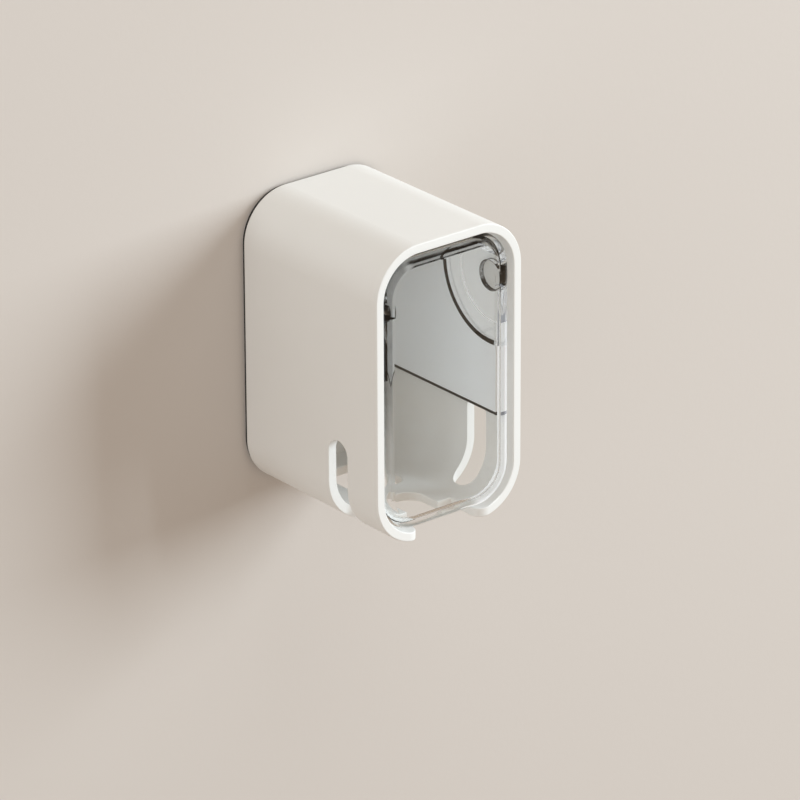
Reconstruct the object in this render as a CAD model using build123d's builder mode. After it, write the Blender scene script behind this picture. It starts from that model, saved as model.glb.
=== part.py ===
from build123d import *
from math import sqrt
import os

os.makedirs("parts", exist_ok=True)

# Frame, in mm: the origin is the centre of the pad's face on the wall, X to the right, Y into the wall
# and Z up. Places along Y are kept as distances out from the wall.

# Shell
shell_width = 35.0
shell_height = 60.0
shell_depth = 40.0
shell_corner = 10.0
shell_wall = 1.8
back_wall = 2.0
rim_outer_round = 0.25
rim_inner_round = 0.2
back_edge_round = 0.4

# Adhesive pad between the shell and the wall
pad_thickness = 0.8
pad_inset = 0.5

# Slot in each side, which ends in the lower corner
slot_from_rim = 9.0
slot_width = 5.6
slot_top_z = -10.8
slot_end_x = 10.9
slot_end_round = 2.5
slot_edge_round = 0.12

# Floor: the gap between the two front fingers, the neck notch behind it and the drain
finger_gap = 14.0
finger_length = 9.0
finger_round = 2.6
floor_cut_rise = 1.0
neck_notch_radius = 3.8
neck_notch_from_rim = 13.0
drain_width = 11.2
drain_from_back = 5.3
drain_bridge = 3.9
drain_corner = 2.0

# Inner bracket
bracket_fit = 0.1
bracket_back = 1.6
cheek_thickness = 2.0
cheek_bottom_z = -11.3
cheek_edge_round = 0.3
cheek_relief = 0.5
boss_radius = 2.4
boss_height = 2.4

# Clear door
door_recess = 0.2
door_gap = 0.3
door_top_gap = 0.5
door_depth = 3.2
door_plate = 1.8
door_flange = 1.6
door_edge_round = 2.3
door_inner_round = 0.9
door_stop_gap = 0.3

# Hinge
pivot_from_rim = 4.7
pivot_z = 17.3
pin_radius = 2.95
pin_running_clearance = 0.05
pin_seat_depth = 1.0
pin_seat_clearance = 0.02
pin_recess = 0.8
pin_end_round = 0.2
ear_radius = 13.9
ear_thickness = 1.1
ear_inset = 1.3
ear_root = 1.0
ear_top_rise = 4.6
ear_corner_round = 1.5
ear_hub_radius = 9.5
ear_hub_inset = 0.25

# Screws, with heads cut to a right-angled cone
screw_spacing = 16.0
screw_z = 9.0
screw_radius = 1.0
screw_length = 6.0
screw_head_radius = 1.9
screw_head_sink = 0.1
screw_clearance = 0.05
screw_tip_clearance = 0.3
screw_point = 0.8
screw_point_radius = 0.25
screw_slot_width = 0.5
screw_slot_length = 2.4
screw_slot_depth = 0.5
countersink_angle = 90.0

# Places worked out from the sizes above
rim = pad_thickness + shell_depth
cavity_back = pad_thickness + back_wall
drain_back = cavity_back + drain_from_back
cavity_width = shell_width - 2 * shell_wall
cavity_height = shell_height - 2 * shell_wall
cavity_corner = shell_corner - shell_wall
floor_z = -cavity_height / 2
corner_x = shell_width / 2 - shell_corner
corner_z = -shell_height / 2 + shell_corner
slot_front = rim - slot_from_rim
slot_back = slot_front - slot_width
slot_middle = (slot_front + slot_back) / 2
slot_arch_z = slot_top_z - slot_width / 2
pivot_out = rim - pivot_from_rim
door_front = rim - door_recess
door_back = door_front - door_depth
door_width = cavity_width - 2 * door_gap
door_height = cavity_height - door_gap - door_top_gap
door_middle_z = (door_gap - door_top_gap) / 2
door_corner = cavity_corner - door_gap
bracket_rear = cavity_back + bracket_fit
bracket_front = door_back - door_stop_gap
cheek_outer = cavity_width / 2 - bracket_fit
cheek_inner = cheek_outer - cheek_thickness
cutout_radius = ear_radius + cheek_relief
neck_notch_out = rim - neck_notch_from_rim
drain_length = neck_notch_out - neck_notch_radius - drain_bridge - drain_back
ear_outer = door_width / 2 - ear_inset
ear_inner = ear_outer - ear_thickness
pin_foot = cavity_width / 2 + pin_seat_depth
pin_end = ear_inner + pin_recess
screw_head_height = screw_head_radius - screw_radius
screw_tip = pad_thickness + screw_head_sink + screw_length
past = 1.0
same_place = 0.001

# The shell's back face, seen from the wall
wall_side = Plane(origin=(0, -pad_thickness, 0), x_dir=(-1, 0, 0), z_dir=(0, 1, 0))


def outside_round(x, z):
    """Distance of a point outside the middle line of the shell's rounded outline."""
    across = max(abs(x) - corner_x, 0)
    along = max(abs(z) + corner_z, 0)
    return sqrt(across**2 + along**2) - (shell_corner - shell_wall / 2)


# The space of the two side slots: round at the top, and with round corners at the end in the floor
with BuildPart() as side_slots:
    with BuildSketch(Plane.YZ.offset(-shell_width)):
        with BuildLine():
            Polyline(
                (-slot_back, slot_arch_z),
                (-slot_back, -shell_height),
                (-slot_front, -shell_height),
                (-slot_front, slot_arch_z),
            )
            ThreePointArc(
                (-slot_front, slot_arch_z), (-slot_middle, slot_top_z), (-slot_back, slot_arch_z)
            )
        make_face()
    extrude(amount=2 * shell_width)
    with BuildSketch(Plane.XY.offset(-shell_height)):
        with Locations(
            (slot_end_x + shell_width / 2, -slot_middle), (-slot_end_x - shell_width / 2, -slot_middle)
        ):
            RectangleRounded(shell_width, slot_width, slot_end_round)
    extrude(amount=shell_height, mode=Mode.INTERSECT)


# Housing: one moulded shell with a closed back and an open front
with BuildPart() as housing:
    with BuildSketch(Plane.XZ.offset(pad_thickness)):
        RectangleRounded(shell_width, shell_height, shell_corner)
    extrude(amount=shell_depth)
    with BuildSketch(Plane.XZ.offset(cavity_back)):
        RectangleRounded(cavity_width, cavity_height, cavity_corner)
    extrude(amount=rim - cavity_back, mode=Mode.SUBTRACT)

    # In the floor: the gap with its round corners at the rim, the neck notch behind it and the drain
    with BuildSketch(Plane.XY.offset(floor_z + floor_cut_rise)):
        with Locations((0, -rim - past)):
            Rectangle(finger_gap, finger_length + past, align=(Align.CENTER, Align.MIN))
            Rectangle(
                finger_gap + 2 * finger_round, finger_round + past, align=(Align.CENTER, Align.MIN)
            )
        with Locations(
            (finger_gap / 2 + finger_round, finger_round - rim),
            (-finger_gap / 2 - finger_round, finger_round - rim),
        ):
            Circle(finger_round, mode=Mode.SUBTRACT)
        with Locations((0, -neck_notch_out)):
            Circle(neck_notch_radius)
            Rectangle(
                2 * neck_notch_radius,
                neck_notch_from_rim - finger_length + past,
                align=(Align.CENTER, Align.MAX),
            )
        with Locations((0, -drain_back - drain_length / 2)):
            RectangleRounded(drain_width, drain_length, drain_corner)
    extrude(amount=-floor_cut_rise - shell_wall - past, mode=Mode.SUBTRACT)

    # Soft edges round the rim, the fingers and the openings of the floor, and round the back
    lip_edges = (
        (housing.edges(Select.LAST) + housing.faces().sort_by(Axis.Y)[0].edges())
        .filter_by(Axis.Z, reverse=True)
        .filter_by(lambda e: abs(abs((e @ 0.5).X) - corner_x) > same_place)
    )
    outer_lip = lip_edges.filter_by(lambda e: outside_round((e @ 0.5).X, (e @ 0.5).Z) > 0)
    inner_lip = lip_edges.filter_by(lambda e: outside_round((e @ 0.5).X, (e @ 0.5).Z) < 0)
    fillet(outer_lip, rim_outer_round)
    fillet(inner_lip, rim_inner_round)
    fillet(housing.faces().sort_by(Axis.Y)[-1].outer_wire().edges(), back_edge_round)

    # Slots in the sides
    add(side_slots.part, mode=Mode.SUBTRACT)
    slot_outer_edges = housing.edges(Select.LAST).filter_by(
        lambda e: outside_round((e @ 0.5).X, (e @ 0.5).Z) > shell_wall / 4
    )
    fillet(slot_outer_edges, slot_edge_round)

    # Blind seats for the hinge pins, inside each wall
    with BuildSketch(Plane.YZ.offset(-pin_foot)):
        with Locations((-pivot_out, pivot_z)):
            Circle(pin_radius + pin_seat_clearance)
    extrude(amount=2 * pin_foot, mode=Mode.SUBTRACT)

    # Countersunk holes for the bracket screws, opening under the pad
    with Locations(wall_side):
        with Locations((0, screw_z)):
            with GridLocations(screw_spacing, 1, 2, 1):
                CounterSinkHole(
                    radius=screw_radius + screw_clearance,
                    counter_sink_radius=screw_head_radius + screw_head_sink + screw_clearance,
                    depth=back_wall,
                    counter_sink_angle=countersink_angle,
                )
housing.part.label = "housing"
export_step(housing.part, "parts/housing.step")


# Inner bracket: a back plate with a cheek against each side wall, cut away about the hinge
with BuildPart() as inner_bracket:
    with BuildSketch(Plane.XZ.offset(bracket_rear)):
        RectangleRounded(
            cavity_width - 2 * bracket_fit,
            cavity_height - 2 * bracket_fit,
            cavity_corner - bracket_fit,
        )
        with Locations((0, cheek_bottom_z - shell_height / 2)):
            Rectangle(shell_width, shell_height, mode=Mode.SUBTRACT)
    extrude(amount=bracket_front - bracket_rear)
    with BuildSketch(Plane.XZ.offset(bracket_rear + bracket_back)):
        Rectangle(2 * cheek_inner, 2 * shell_height)
    extrude(amount=rim, mode=Mode.SUBTRACT)
    cheek_feet = inner_bracket.edges().filter_by(Axis.Y).group_by(Axis.Z)[0]
    fillet(cheek_feet, cheek_edge_round)
    with BuildSketch(Plane.YZ.offset(-shell_width)):
        with Locations((-pivot_out, pivot_z)):
            Circle(cutout_radius)
        with Locations((-pivot_out, pivot_z + shell_height / 2)):
            Rectangle(2 * cutout_radius, shell_height)
    extrude(amount=2 * shell_width, mode=Mode.SUBTRACT)

    # Bosses for the screws
    with BuildSketch(Plane.XZ.offset(bracket_rear)):
        with Locations((0, screw_z)):
            with GridLocations(screw_spacing, 1, 2, 1):
                Circle(boss_radius)
    extrude(amount=bracket_back + boss_height)
    with BuildSketch(Plane.XZ.offset(bracket_rear)):
        with Locations((0, screw_z)):
            with GridLocations(screw_spacing, 1, 2, 1):
                Circle(screw_radius + screw_clearance)
    extrude(amount=screw_tip + screw_tip_clearance - bracket_rear, mode=Mode.SUBTRACT)
inner_bracket.part.label = "inner_bracket"
export_step(inner_bracket.part, "parts/inner_bracket.step")


def ear_lobe(radius):
    """Quarter-round face about the pivot, level a little above it and square where it meets the door."""
    front = -door_back - ear_root
    top = pivot_z + ear_top_rise
    top_back = (-pivot_out + sqrt(radius**2 - ear_top_rise**2), top)
    low_front = (front, pivot_z - sqrt(radius**2 - (front + pivot_out) ** 2))
    low_back = (-pivot_out + radius / sqrt(2), pivot_z - radius / sqrt(2))
    with BuildSketch() as lobe:
        with BuildLine():
            Polyline(low_front, (front, top), top_back)
            ThreePointArc(top_back, low_back, low_front)
        make_face()
        fillet(lobe.vertices().sort_by(Axis.X)[-1], ear_corner_round)
    return lobe.sketch


# Clear door: a shallow tray with a soft front edge and a quarter-round ear on each side
ear = ear_lobe(ear_radius)
ear_hub = ear_lobe(ear_hub_radius)
with BuildPart() as clear_door:
    with BuildSketch(Plane.XZ.offset(door_back)):
        with Locations((0, door_middle_z)):
            RectangleRounded(door_width, door_height, door_corner)
    extrude(amount=door_depth)
    fillet(clear_door.faces().sort_by(Axis.Y)[0].edges(), door_edge_round)
    with BuildSketch(Plane.XZ.offset(door_back)):
        with Locations((0, door_middle_z)):
            RectangleRounded(
                door_width - 2 * door_flange, door_height - 2 * door_flange, door_corner - door_flange
            )
    extrude(amount=door_depth - door_plate, mode=Mode.SUBTRACT)
    tray_face = clear_door.faces(Select.LAST).filter_by(Axis.Y).sort_by(Axis.Y)[0]
    fillet(tray_face.edges(), door_inner_round)
    for side in (-1, 1):
        with BuildSketch(Plane.YZ.offset(side * ear_inner)):
            add(ear)
        extrude(amount=side * ear_thickness)
        with BuildSketch(Plane.YZ.offset(side * ear_inner)):
            add(ear_hub)
        extrude(amount=side * (ear_thickness + ear_inset - ear_hub_inset))
        with BuildSketch(Plane.YZ.offset(side * (ear_inner - past))):
            with Locations((-pivot_out, pivot_z)):
                Circle(pin_radius + pin_running_clearance)
        extrude(amount=side * (door_width / 2 - ear_inner + 2 * past), mode=Mode.SUBTRACT)
clear_door.part.label = "clear_door"
export_step(clear_door.part, "parts/clear_door.step")


# Hinge pins: a short stud pressed into each side wall, on which an ear turns
for name, side in (("left_hinge_pin", -1), ("right_hinge_pin", 1)):
    with BuildPart() as hinge_pin:
        with BuildSketch(Plane.YZ.offset(side * pin_end)):
            with Locations((-pivot_out, pivot_z)):
                Circle(pin_radius)
        extrude(amount=side * (pin_foot - pin_end))
        inner_end = hinge_pin.faces().sort_by(Axis.X)[-1 if side < 0 else 0]
        fillet(inner_end.edges(), pin_end_round)
    hinge_pin.part.label = name
    export_step(hinge_pin.part, f"parts/{name}.step")


# Bracket screws: countersunk, through the back wall into the bosses, hidden by the pad
with BuildPart() as bracket_screws:
    with Locations(wall_side):
        with Locations((0, screw_z)):
            with GridLocations(screw_spacing, 1, 2, 1):
                with Locations((0, 0, -screw_head_sink)):
                    Cone(
                        screw_radius,
                        screw_head_radius,
                        screw_head_height,
                        align=(Align.CENTER, Align.CENTER, Align.MAX),
                    )
                    Cylinder(
                        screw_radius,
                        screw_length - screw_point,
                        align=(Align.CENTER, Align.CENTER, Align.MAX),
                    )
                with Locations((0, 0, -screw_head_sink - screw_length)):
                    Cone(
                        screw_point_radius,
                        screw_radius,
                        screw_point,
                        align=(Align.CENTER, Align.CENTER, Align.MIN),
                    )
                for turn in (0, 90):
                    with Locations(Location((0, 0, -screw_head_sink - screw_slot_depth), (0, 0, turn))):
                        Box(
                            screw_slot_width,
                            screw_slot_length,
                            screw_head_height,
                            align=(Align.CENTER, Align.CENTER, Align.MIN),
                            mode=Mode.SUBTRACT,
                        )
bracket_screws.part.label = "bracket_screws"
export_step(bracket_screws.part, "parts/bracket_screws.step")


# Wall pad: double-sided adhesive foam, set in from the shell's edge
with BuildPart() as wall_pad:
    with BuildSketch(Plane.XZ):
        RectangleRounded(
            shell_width - 2 * pad_inset, shell_height - 2 * pad_inset, shell_corner - pad_inset
        )
    extrude(amount=pad_thickness)
wall_pad.part.label = "wall_pad"
export_step(wall_pad.part, "parts/wall_pad.step")
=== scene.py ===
import bmesh
import bpy
import math
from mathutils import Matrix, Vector


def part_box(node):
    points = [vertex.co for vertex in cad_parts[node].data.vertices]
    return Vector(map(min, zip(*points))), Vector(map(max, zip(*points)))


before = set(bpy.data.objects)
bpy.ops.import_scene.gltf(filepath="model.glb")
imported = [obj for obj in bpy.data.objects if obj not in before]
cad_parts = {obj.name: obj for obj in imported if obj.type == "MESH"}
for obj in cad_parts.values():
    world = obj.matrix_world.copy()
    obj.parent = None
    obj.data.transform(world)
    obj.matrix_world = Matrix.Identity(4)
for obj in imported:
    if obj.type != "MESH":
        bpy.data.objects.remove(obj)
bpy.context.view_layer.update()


# Housing: the outer shell, injection-moulded in white ABS with a fine satin grain from the tool.
# It comes out in one piece, open at the front, with the slots, the drain and the pin seats in it.
class Wire:
    """A socket of a material's nodes. Sums, differences and products of wires add Math nodes."""

    def __init__(self, tree, socket=None):
        self.tree = tree
        self.socket = socket

    def node(self, kind, settings=None, sockets=None, output=0):
        """Adds a node, sets it up, fills its sockets with values or wires and returns one output."""
        made = self.tree.nodes.new("ShaderNode" + kind)
        for name, value in (settings or {}).items():
            setattr(made, name, value)
        for name, value in (sockets or {}).items():
            if isinstance(value, Wire):
                self.tree.links.new(value.socket, made.inputs[name])
            else:
                made.inputs[name].default_value = value
        return Wire(self.tree, made.outputs[output])

    def maths(self, operation, first, second=0.0):
        return self.node("Math", {"operation": operation}, {0: first, 1: second})

    def __add__(self, other):
        return self.maths("ADD", self, other)

    def __sub__(self, other):
        return self.maths("SUBTRACT", self, other)

    def __rsub__(self, other):
        return self.maths("SUBTRACT", other, self)

    def __mul__(self, other):
        return self.maths("MULTIPLY", self, other)

    def __pow__(self, other):
        return self.maths("POWER", self, other)

    def __abs__(self):
        return self.maths("ABSOLUTE", self)

    __radd__ = __add__
    __rmul__ = __mul__


def linear(*written):
    """A colour as it is seen on a screen, from 0 to 1, turned into light by the sRGB curve."""
    toe, slope, offset, power = 0.04045, 12.92, 0.055, 2.4
    return tuple(((c + offset) / (1 + offset)) ** power if c > toe else c / slope for c in written)


def finish_of(name, colour, **even):
    """A new material, its shader with this colour and these even values, and the wire of the place."""
    material = bpy.data.materials.new(name)
    material.use_nodes = True
    shader = material.node_tree.nodes["Principled BSDF"]
    shader.inputs["Base Color"].default_value = (*linear(*colour), 1)
    for socket, value in even.items():
        shader.inputs[socket.replace("_", " ")].default_value = value
    return material, shader, Wire(material.node_tree).node("TexCoord", output="Object")


def feed(node, socket, wire):
    """Links a wire to one of a node's sockets."""
    wire.tree.links.new(wire.socket, node.inputs[socket])


def grain_of(place, size, depth):
    """The normal of a moulded grain of this size and depth."""
    height = place.node("TexNoise", sockets={"Vector": place, "Scale": 1 / size})
    return place.node("Bump", sockets={"Distance": depth, "Height": height})


def mottle(place, size, low, high):
    """A slow change from low to high over patches of this size."""
    cloud = place.node("TexNoise", sockets={"Vector": place, "Scale": 1 / size, "Detail": 3.0})
    return cloud * (high - low) + low


def tint(place, factor, first, second):
    """A colour between two, which are written as three numbers or are wires."""
    colours = [colour if isinstance(colour, Wire) else (*linear(*colour), 1) for colour in (first, second)]
    return place.node("Mix", {"data_type": "RGBA"}, {0: factor, 6: colours[0], 7: colours[1]}, output=2)


def dress(node, material):
    """Gives a CAD node its material."""
    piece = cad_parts[node]
    piece.data.materials.clear()
    piece.data.materials.append(material)


millimetre = 0.001
shell_colour = 0.93, 0.925, 0.91
shell_shades = (0.925, 0.92, 0.905), (0.935, 0.93, 0.915)
shell_roughness = 0.36, 0.46
shade_patch = 12 * millimetre
gloss_patch = 4 * millimetre
grain_size = 0.35 * millimetre
grain_depth = 0.006 * millimetre
shell_white, shader, place = finish_of("shell_white", shell_colour)
feed(shader, "Base Color", tint(place, mottle(place, shade_patch, 0, 1), *shell_shades))
feed(shader, "Roughness", mottle(place, gloss_patch, *shell_roughness))
feed(shader, "Normal", grain_of(place, grain_size, grain_depth))
dress("housing", shell_white)


# Hinge pins: two short studs turned from pale acetal, pressed into the side walls from inside.
# Each inner end shows in the bore of the flap's ear, with the fine rings that the cutter leaves.
def parts_of(place, axes):
    """The wires of a place along these axes."""
    return (place.node("SeparateXYZ", sockets={"Vector": place}, output=axis) for axis in axes)


def length_of(first, second):
    """The length of a step with these two sides."""
    return (first * first + second * second) ** 0.5


pin_colour = 0.85, 0.85, 0.84
ring_pitch = 0.22 * millimetre
ring_depth = 0.004 * millimetre
pin_low, pin_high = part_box("right_hinge_pin")
pivot = (pin_low + pin_high) / 2
pin_pale, shader, place = finish_of("pin_pale", pin_colour, Roughness=0.32)
along, up = parts_of(place, "YZ")
turns = length_of(along - pivot.y, up - pivot.z) * (2 * math.pi / ring_pitch)
rings = turns.maths("SINE", turns)
feed(shader, "Normal", place.node("Bump", sockets={"Distance": ring_depth, "Height": rings}))
for name in ("left_hinge_pin", "right_hinge_pin"):
    dress(name, pin_pale)


# Inner bracket: a pale moulding with a matte face, whose two cheeks stand against the side walls.
# It slides in from the front and is held by two screws. A fine black line of painted shadow
# runs along its foot.
def ramp(wire, start, end):
    """Rises smoothly from 0 to 1 while the wire goes from start to end, both in millimetres."""
    settings = {"interpolation_type": "SMOOTHSTEP"}
    sockets = {"Value": wire, "From Min": start * millimetre, "From Max": end * millimetre}
    return wire.node("MapRange", settings, sockets)


bracket_colour = 0.93, 0.94, 0.945
bracket_shades = (0.932, 0.942, 0.947), (0.948, 0.958, 0.963)
bracket_roughness = 0.50, 0.62
shade_patch = 10 * millimetre
gloss_patch = 3 * millimetre
grain_size = 0.30 * millimetre
grain_depth = 0.008 * millimetre
foot_shadow_colour = 0.01, 0.01, 0.01
foot_shadow_end = 0.69, 0.75
bracket_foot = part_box("inner_bracket")[0].z
bracket_grey, shader, place = finish_of("bracket_grey", bracket_colour)
(up,) = parts_of(place, "Z")
# Painted shadow: a black line along the bracket's foot
painted_foot_shadow = 1 - ramp(up - bracket_foot, *foot_shadow_end)
pale = tint(place, mottle(place, shade_patch, 0, 1), *bracket_shades)
feed(shader, "Base Color", tint(place, painted_foot_shadow, pale, foot_shadow_colour))
feed(shader, "Roughness", mottle(place, gloss_patch, *bracket_roughness))
feed(shader, "Normal", grain_of(place, grain_size, grain_depth))
dress("inner_bracket", bracket_grey)


# Bracket screws: two small countersunk screws in bright zinc plate, hidden under the pad.
# They pass through the shell's back wall into the bracket's two bosses.
screw_colour = 0.7, 0.7, 0.71
screw_roughness = 0.22, 0.42
gloss_patch = 0.6 * millimetre
grain_size = 0.15 * millimetre
grain_depth = 0.003 * millimetre
screw_zinc, shader, place = finish_of("screw_zinc", screw_colour, Metallic=1.0)
feed(shader, "Roughness", mottle(place, gloss_patch, *screw_roughness))
feed(shader, "Normal", grain_of(place, grain_size, grain_depth))
dress("bracket_screws", screw_zinc)


# Wall pad: dark acrylic foam tape, die-cut a little smaller than the shell's back.
# Its face shows the closed cells of the foam through a thin film of adhesive.
foam_colour = 0.2, 0.2, 0.2
foam_shades = (0.17, 0.17, 0.17), (0.23, 0.23, 0.225)
shade_patch = 2 * millimetre
cell_size = 0.45 * millimetre
cell_depth = 0.03 * millimetre
pad_foam, shader, place = finish_of("pad_foam", foam_colour, Roughness=0.6)
feed(shader, "Base Color", tint(place, mottle(place, shade_patch, 0, 1), *foam_shades))
feed(shader, "Normal", grain_of(place, cell_size, cell_depth))
dress("wall_pad", pad_foam)


# Clear flap: a polished moulding in clear acrylic, with its ears, hung on the pins.
# The lamps shine through it to what is behind. Painted shade darkens its rounded and cut edges in places,
# and a painted highlight glows at its right edge and right ear.
def band(wire, rise, fall):
    """Is 1 between a rise and a fall, which each have a start and an end in millimetres."""
    return ramp(wire, *rise) * (1 - ramp(wire, *fall))


clear_colour = 0.99, 0.995, 0.995
flap_clear, shader, place = finish_of(
    "flap_clear", clear_colour, Transmission_Weight=1.0, IOR=1.49, Roughness=0.015
)
across, along, up = parts_of(place, "XYZ")

# How far a point lies inside the flap's outline, and how far it is from the pivot
flap_low, flap_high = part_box("clear_door")
flap_corner = 7.9 * millimetre
middle_z = (flap_low.z + flap_high.z) / 2
beyond_x = abs(across) - (flap_high.x - flap_corner)
beyond_z = abs(up - middle_z) - (flap_high.z - middle_z - flap_corner)
inset = flap_corner - length_of(beyond_x.maths("MAXIMUM", beyond_x), beyond_z.maths("MAXIMUM", beyond_z))
from_pivot = length_of(along - pivot.y, up - pivot.z)

# The plate in front, the two ears behind it and the two sides
plate_end = 3.22, 3.3
ears_start = 12.95, 12.99
left_half_end = -11, -9
right_half_start = 6, 9
plate = 1 - ramp(along - flap_low.y, *plate_end)
ear = ramp(abs(across), *ears_start)
left = 1 - ramp(across, *left_half_end)
right = ramp(across, *right_half_start)

# Painted shade: two dark streaks along the top, with a lighter line between them
streaks_rise, streaks_fall = (0.95, 1.1), (2.1, 2.25)
between_rise, between_fall = (1.35, 1.5), (1.75, 1.9)
between_clearness = 0.45
top_start = 15, 17
top_rise, top_fall = (-10, -8), (8, 11)
between = band(inset, between_rise, between_fall) * between_clearness
painted_streak_shade = band(inset, streaks_rise, streaks_fall) * (1 - between)
painted_top_shade = painted_streak_shade * ramp(up, *top_start) * band(across, top_rise, top_fall)

# Painted shade: a dark strip down the left edge, which fades out on its way, and a dark line round both
# upper corners
strip_rise, strip_fall = (0.1, 0.3), (1.7, 2.1)
strip_start = -15, 4
strip_darkness = 0.72
corner_line_end = 0.25, 0.45
corner_start = 11, 15
left_corner_darkness = 0.7
painted_left_shade = band(inset, strip_rise, strip_fall) * left * ramp(up, *strip_start) * strip_darkness
painted_corner_line_shade = 1 - ramp(inset, *corner_line_end)
painted_corner_shade = painted_corner_line_shade * ramp(up, *corner_start) * (left * left_corner_darkness + right)

# Painted shade on the rims of the ears' inner faces and in their bores
ear_rim_start = 12.85, 12.92
inner_face_end = 13.02, 13.08
bore_end = 3.1, 3.16
ear_rim_darkness = 1.6
painted_ear_rim_shade = ramp(from_pivot, *ear_rim_start) * (1 - plate) * (1 - ramp(abs(across), *inner_face_end))
painted_bore_shade = (1 - ramp(from_pivot, *bore_end)) * ear

# The painted shade of all of these, with its own slow changes, and the colour that it gives
plate_shade_patch = 4 * millimetre
plate_shade_change = 0.8, 1.2
ear_shade_patch = 1.4 * millimetre
ear_shade_change = 0.5, 1.5
plate_painted_shade = (painted_top_shade + painted_left_shade + painted_corner_shade) * plate * mottle(place, plate_shade_patch, *plate_shade_change)
ear_painted_shade = (painted_ear_rim_shade * ear_rim_darkness + painted_bore_shade) * mottle(place, ear_shade_patch, *ear_shade_change)
black = 0, 0, 0
feed(shader, "Base Color", tint(place, plate_painted_shade + ear_painted_shade, clear_colour, black))

# A painted highlight that glows at the right edge, and less of it on the right ear
highlight_colour = 0.95, 0.97, 1.0
highlight_strength = 0.22
highlight_rise, highlight_fall = (0.3, 0.6), (1.5, 1.9)
highlight_top = 7, 12
ear_highlight_share = 0.27
painted_edge_highlight = band(inset, highlight_rise, highlight_fall) * (1 - ramp(up, *highlight_top)) * plate
painted_ear_highlight = ear * (1 - plate) * (1 - painted_ear_rim_shade) * (1 - painted_bore_shade) * ear_highlight_share
feed(shader, "Emission Color", tint(place, (painted_edge_highlight + painted_ear_highlight) * right, black, highlight_colour))
shader.inputs["Emission Strength"].default_value = highlight_strength

# Light passes straight through on its way from a lamp or between dull surfaces
let_through_colour = 0.99, 0.99, 0.99
passing = place.node("LightPath", output="Is Shadow Ray") + place.node("LightPath", output="Is Diffuse Ray")
clear_body = Wire(place.tree, shader.outputs["BSDF"])
let_through = place.node("BsdfTransparent", sockets={"Color": (*linear(*let_through_colour), 1)})
flap_surface = place.node("MixShader", sockets={0: passing, 1: clear_body, 2: let_through})
feed(flap_clear.node_tree.nodes["Material Output"], "Surface", flap_surface)
dress("clear_door", flap_clear)


# The wall that the holder is stuck to: smooth matt beige paint. It is cut out behind the pad and
# clear from behind, so that the holder's back can be seen too.
wall_half = 1.5
pad_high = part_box("wall_pad")[1]
pad_corner = 9.5 * millimetre
corner_steps = 12

wall_outline = [(x * wall_half, z * wall_half) for x, z in ((-1, -1), (1, -1), (1, 1), (-1, 1))]
opening_outline = []
for quarter, (side_x, side_z) in enumerate(((1, 1), (-1, 1), (-1, -1), (1, -1))):
    centre_x = side_x * (pad_high.x - pad_corner)
    centre_z = side_z * (pad_high.z - pad_corner)
    for step in range(corner_steps + 1):
        angle = (quarter + step / corner_steps) * math.pi / 2
        opening_outline.append(
            (centre_x + pad_corner * math.cos(angle), centre_z + pad_corner * math.sin(angle))
        )

wall_shape = bmesh.new()
for outline in (wall_outline, opening_outline):
    corners = [wall_shape.verts.new((x, 0, z)) for x, z in outline]
    for first, second in zip(corners, corners[1:] + corners[:1]):
        wall_shape.edges.new((first, second))
bmesh.ops.triangle_fill(wall_shape, use_beauty=True, edges=wall_shape.edges[:])
for face in wall_shape.faces:
    if face.normal.y > 0:
        face.normal_flip()
wall_mesh = bpy.data.meshes.new("wall")
wall_shape.to_mesh(wall_mesh)
wall = bpy.data.objects.new("wall", wall_mesh)
bpy.context.scene.collection.objects.link(wall)

wall_colour = 0.805, 0.77, 0.738
grain_size = 1.5 * millimetre
grain_depth = 0.02 * millimetre
wall_paint, shader, place = finish_of("wall_paint", wall_colour, Roughness=0.9)
feed(shader, "Normal", grain_of(place, grain_size, grain_depth))
behind = place.node("NewGeometry", output="Backfacing")
painted = Wire(place.tree, shader.outputs["BSDF"])
clear = place.node("BsdfTransparent")
wall_surface = place.node("MixShader", sockets={0: behind, 1: painted, 2: clear})
feed(wall_paint.node_tree.nodes["Material Output"], "Surface", wall_surface)
wall_mesh.materials.append(wall_paint)


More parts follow.
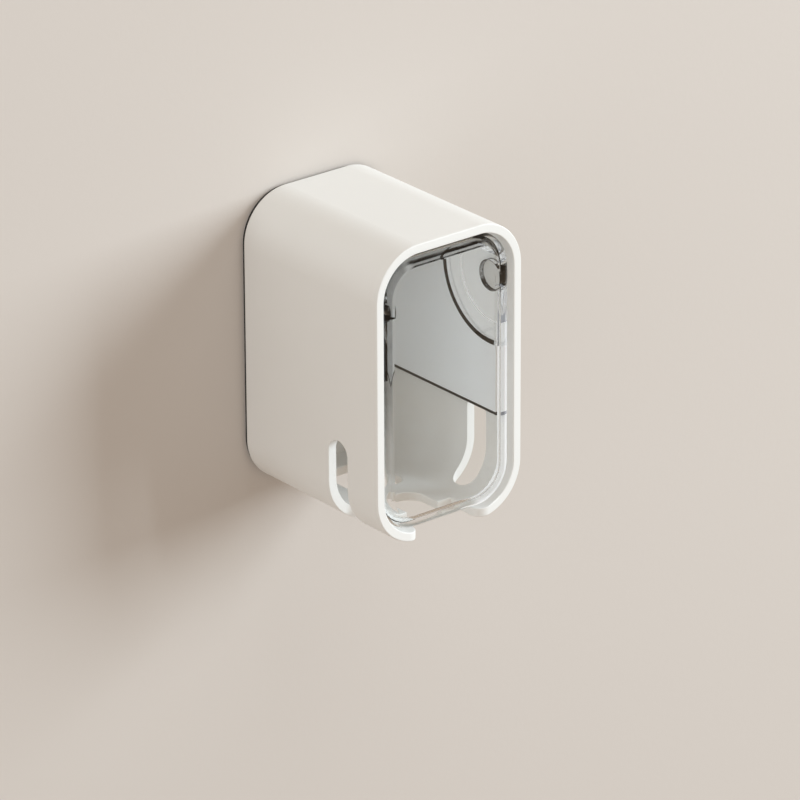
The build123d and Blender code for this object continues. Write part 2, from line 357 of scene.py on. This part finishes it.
# Light: a large soft lamp from the right, weaker ones from the left and from above, and an even warm
# room, so that the shadow falls to the left and the faces stay close to their own colours.
def lamp(name, direction, distance, size, strength, colour):
    """A square soft lamp that faces the holder from here and leaves no image of itself in the flap."""
    data = bpy.data.lights.new(name, "AREA")
    data.size = size
    data.energy = strength
    data.color = colour
    made = bpy.data.objects.new(name, data)
    made.location = Vector(direction).normalized() * distance
    made.rotation_euler = (-Vector(direction)).to_track_quat("-Z", "Y").to_euler()
    made.visible_glossy = False
    made.visible_transmission = False
    bpy.context.scene.collection.objects.link(made)


lamp("key", (0.75, -0.58, 0.29), distance=1.5, size=0.75, strength=26, colour=(0.79, 0.91, 1.0))
lamp("left", (-0.72, -0.65, 0.15), distance=1.2, size=0.9, strength=4.9, colour=(0.80, 0.91, 1.0))
lamp("side", (-1.0, -0.13, 0.1), distance=1.2, size=0.24, strength=0.5, colour=(0.80, 0.90, 1.0))
lamp("top", (0.1, -0.3, 1.0), distance=1.2, size=0.8, strength=3.3, colour=(0.84, 0.93, 1.0))

room_light = 1.0, 0.78, 0.58
room_strength = 0.40
room = bpy.data.worlds.new("room")
room.use_nodes = True
background = room.node_tree.nodes["Background"]
background.inputs["Color"].default_value = (*room_light, 1)
background.inputs["Strength"].default_value = room_strength
bpy.context.scene.world = room
bpy.context.scene.view_settings.view_transform = "Standard"


# Camera: from the front left and above, as in the photograph, with a long lens.
# Its place and turn are those at which the solids' edges fall on the photograph's.
camera_azimuth = math.radians(-39.0)
camera_elevation = math.radians(23.4)
camera_roll = math.radians(-0.25)
camera_distance = 1.2019
camera_aim = Vector((-0.0004, -0.0265, -0.0080))
camera_lens = 285.6
camera_data = bpy.data.cameras.new("camera")
camera_data.lens = camera_lens
camera = bpy.data.objects.new("camera", camera_data)
towards = Vector(
    (
        -math.sin(camera_azimuth) * math.cos(camera_elevation),
        math.cos(camera_azimuth) * math.cos(camera_elevation),
        -math.sin(camera_elevation),
    )
)
camera.location = camera_aim - towards * camera_distance
camera.rotation_euler = towards.to_track_quat("-Z", "Y").to_euler()
camera.rotation_euler.rotate_axis("Z", camera_roll)
bpy.context.scene.collection.objects.link(camera)
bpy.context.scene.camera = camera
